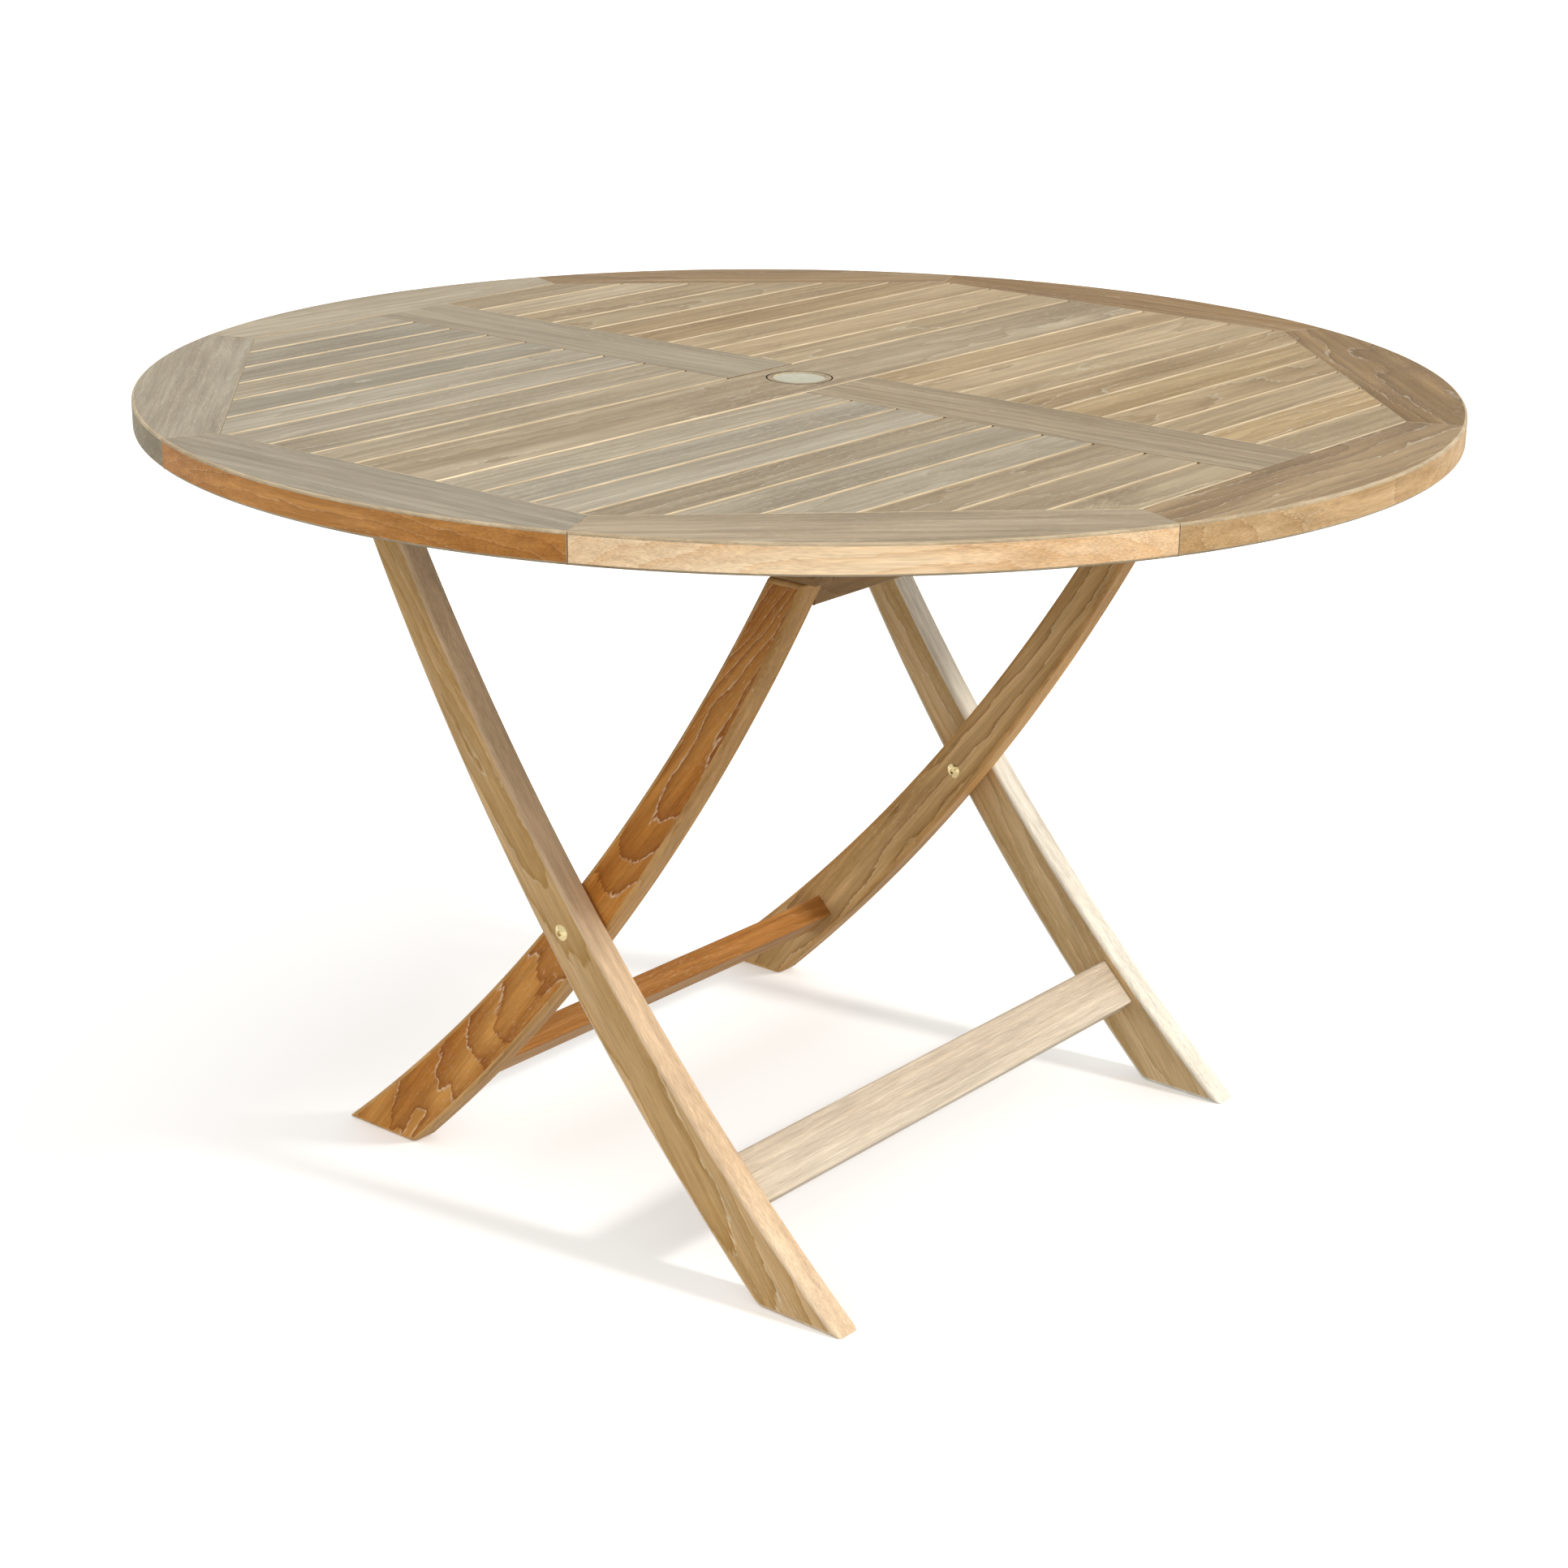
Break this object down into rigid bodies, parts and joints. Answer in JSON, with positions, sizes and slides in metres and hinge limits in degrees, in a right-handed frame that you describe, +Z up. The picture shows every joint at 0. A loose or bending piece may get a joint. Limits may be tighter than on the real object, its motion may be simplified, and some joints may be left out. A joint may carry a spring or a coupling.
{
  "type": "folding picnic table",
  "caption": "Round slatted wooden folding table on two crossing bowed leg frames, with a brass lift-out cap over its parasol hole.",
  "frame": {"origin": "centre of the footprint, on the ground under the middle of the round top", "axes": "+Z up; +X along the slats and the stretchers; +Y towards the hinged edge of the top, across the slats"},
  "size_m": [1.2, 1.2, 0.742],
  "materials": {
    "rim_wood": "weathered oiled teak, satin",
    "slat_wood": "weathered greyish beige teak",
    "under_wood": "plain brown teak",
    "outer_frame_wood": "light tan teak, satin",
    "inner_frame_wood": "orange-brown teak, satin",
    "brass": "polished"
  },
  "bodies": {
    "outer_frame": {"outer_leg_left": "outer_frame_wood", "outer_leg_right": "outer_frame_wood", "outer_stretcher": "outer_frame_wood", "hinge_bolts": "brass", "hinge_washers": "brass", "pivot_bolts": "brass", "pivot_washers": "brass"},
    "inner_frame": {"inner_leg_left": "inner_frame_wood", "inner_leg_right": "inner_frame_wood", "inner_stretcher": "inner_frame_wood", "inner_top_rail": "inner_frame_wood", "pivot_nuts": "brass"},
    "top": {"rim_1": "rim_wood", "rim_2": "rim_wood", "rim_3": "rim_wood", "rim_4": "rim_wood", "rim_5": "rim_wood", "rim_6": "rim_wood", "rim_7": "rim_wood", "rim_8": "rim_wood", "rim_splines": "under_wood", "centre_board": "slat_wood", "cross_board_near": "slat_wood", "cross_board_far": "slat_wood", "slats_near_1": "slat_wood", "slats_near_2": "slat_wood", "slats_near_3": "slat_wood", "slats_near_4": "slat_wood", "slats_near_5": "slat_wood", "slats_near_6": "slat_wood", "slats_near_7": "slat_wood", "slats_near_8": "slat_wood", "slats_near_9": "slat_wood", "slats_far_1": "slat_wood", "slats_far_2": "slat_wood", "slats_far_3": "slat_wood", "slats_far_4": "slat_wood", "slats_far_5": "slat_wood", "slats_far_6": "slat_wood", "slats_far_7": "slat_wood", "slats_far_8": "slat_wood", "slats_far_9": "slat_wood", "batten_left": "under_wood", "batten_right": "under_wood", "catch_blocks": "under_wood", "batten_screws": "brass", "parasol_ring": "brass", "hinge_nuts": "brass"},
    "cap": {"parasol_cap": "brass"}
  },
  "joints": [
    {"name": "leg_fold", "type": "hinge", "parent": "outer_frame", "child": "inner_frame", "pos_m": [0, 0.0027, 0.291], "axis": [-1, 0, 0], "range_deg": [0, 72]},
    {"name": "top_hinge", "type": "hinge", "parent": "outer_frame", "child": "top", "pos_m": [0, 0.24833, 0.68436], "axis": [-1, 0, 0], "range_deg": [0, 54]},
    {"name": "cap_lift", "type": "slide", "parent": "top", "child": "cap", "axis": [0, 0, 1], "range_m": [0, 0.03]}
  ],
  "couplings": [
    {"joint": "top_hinge", "follows": "leg_fold", "ratio": 0.75}
  ]
}
